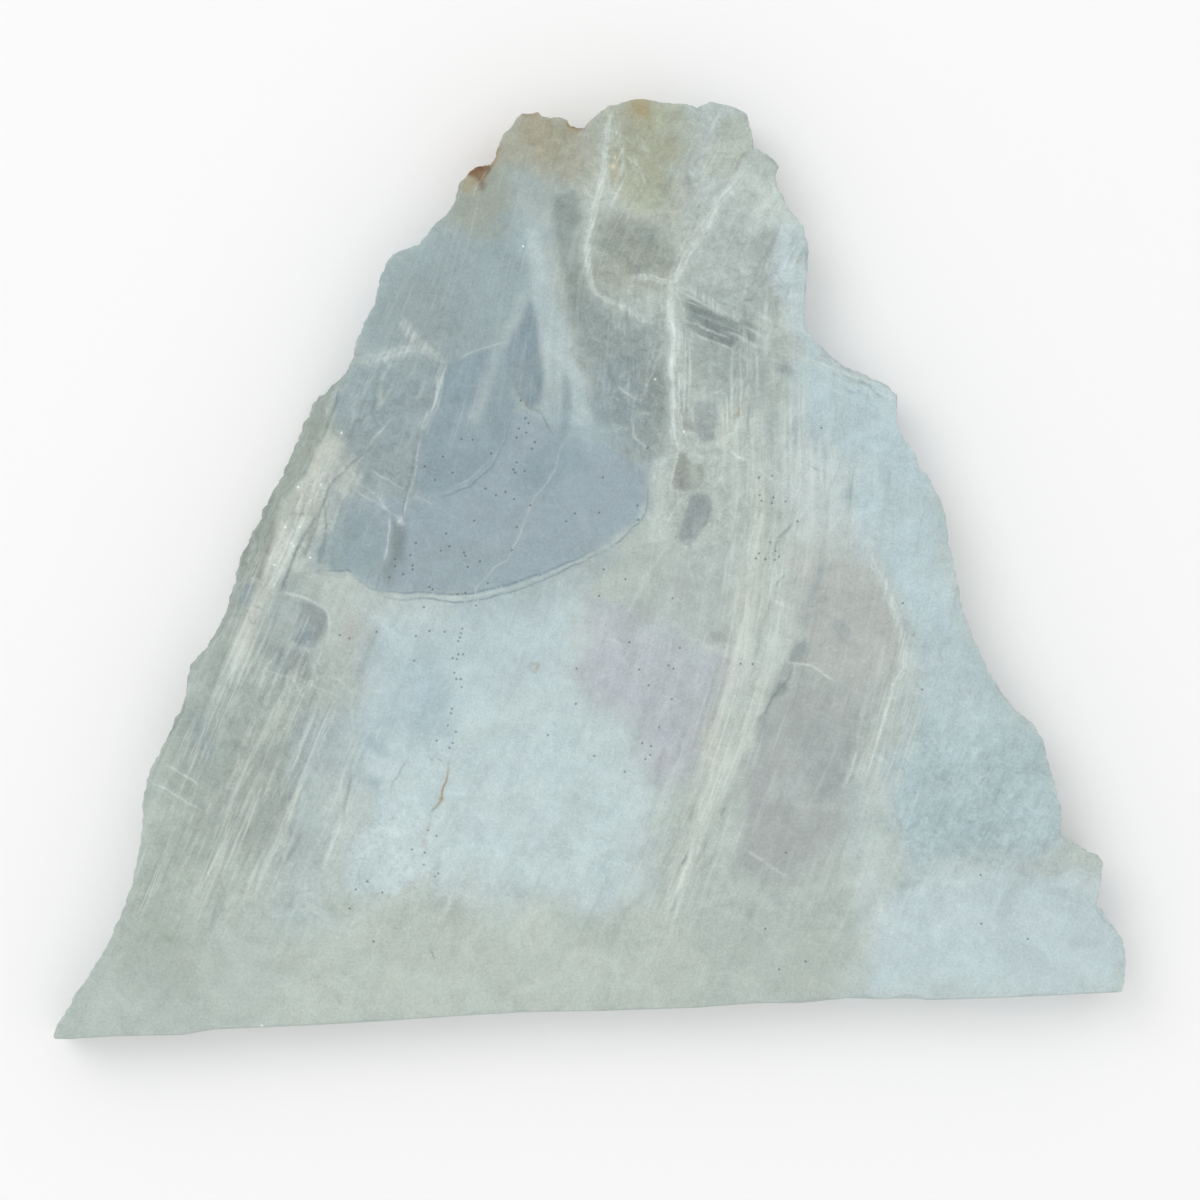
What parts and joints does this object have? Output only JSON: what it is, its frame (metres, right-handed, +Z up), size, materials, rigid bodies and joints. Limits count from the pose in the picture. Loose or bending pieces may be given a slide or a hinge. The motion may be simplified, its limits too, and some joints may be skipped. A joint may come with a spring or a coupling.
{
  "type": "selenite slab",
  "caption": "Flat slice of pale, veined, translucent crystal with polished faces, one sawn side and broken natural edges.",
  "frame": {"origin": "on the surface it rests on, under the middle of the slab's bounding box", "axes": "+X along the sawn side towards its blunt corner, +Y from the sawn side to the crest, +Z up out of the polished face"},
  "size_m": [0.1344, 0.118, 0.008],
  "materials": {
    "selenite": "polished"
  },
  "bodies": {
    "root": {"slab": "selenite"}
  },
  "joints": []
}
